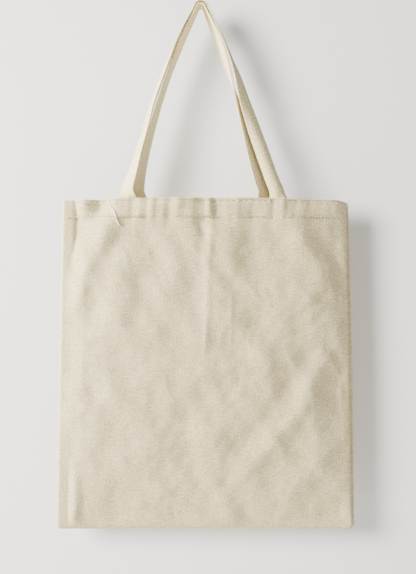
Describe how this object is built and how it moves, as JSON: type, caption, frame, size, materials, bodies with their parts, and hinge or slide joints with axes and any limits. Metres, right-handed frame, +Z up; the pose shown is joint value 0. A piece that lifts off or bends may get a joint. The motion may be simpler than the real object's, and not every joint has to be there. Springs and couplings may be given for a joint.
{
  "type": "canvas tote bag",
  "caption": "Flat canvas tote bag with a hemmed open mouth and two long shoulder handles, hanging from them.",
  "frame": {"origin": "where a hook carries the bag: the underside of the back handle's crown, at its middle", "axes": "+Z up, -Y towards the front panel, +X to the right of someone who faces the front"},
  "size_m": [0.364, 0.036, 0.6441],
  "materials": {
    "canvas_body": "undyed plain-weave cotton canvas",
    "canvas_strap": "folded cotton canvas strap",
    "sewing_thread": "spun sewing thread",
    "overlock_thread": "looped overlock thread"
  },
  "bodies": {
    "seam_frame": {"left_side_seam": "canvas_body", "left_side_stitching": "sewing_thread", "left_side_overlock": "overlock_thread", "right_side_seam": "canvas_body", "right_side_stitching": "sewing_thread", "right_side_overlock": "overlock_thread", "bottom_seam": "canvas_body", "bottom_stitching": "sewing_thread", "bottom_overlock": "overlock_thread"},
    "front_panel": {"front_panel": "canvas_body", "front_hem": "canvas_body", "front_hem_stitching": "sewing_thread", "front_rim_stitching": "sewing_thread", "front_handle_left_end": "canvas_strap", "front_handle_right_end": "canvas_strap", "loose_thread": "sewing_thread"},
    "front_handle": {"front_handle": "canvas_strap", "front_handle_inner_stitching": "sewing_thread", "front_handle_outer_stitching": "sewing_thread"},
    "back_panel": {"back_panel": "canvas_body", "back_hem": "canvas_body", "back_hem_stitching": "sewing_thread", "back_rim_stitching": "sewing_thread", "back_handle_left_end": "canvas_strap", "back_handle_right_end": "canvas_strap"},
    "back_handle": {"back_handle": "canvas_strap", "back_handle_inner_stitching": "sewing_thread", "back_handle_outer_stitching": "sewing_thread"}
  },
  "joints": [
    {"name": "front_mouth", "type": "hinge", "parent": "seam_frame", "child": "front_panel", "pos_m": [0.005, 0, -0.638], "axis": [1, 0, 0], "range_deg": [0, 7], "stiffness_Nm_per_rad": 0.5, "springref_deg": -3.44},
    {"name": "back_mouth", "type": "hinge", "parent": "seam_frame", "child": "back_panel", "pos_m": [0.005, 0, -0.638], "axis": [-1, 0, 0], "range_deg": [0, 7], "stiffness_Nm_per_rad": 0.5, "springref_deg": -3.44},
    {"name": "front_handle_fold", "type": "hinge", "parent": "front_panel", "child": "front_handle", "pos_m": [0.003, -0.021, -0.236], "axis": [1, 0, 0], "range_deg": [0, 170]},
    {"name": "back_handle_fold", "type": "hinge", "parent": "back_panel", "child": "back_handle", "pos_m": [0.003, 0.006, -0.236], "axis": [-1, 0, 0], "range_deg": [0, 170]}
  ]
}
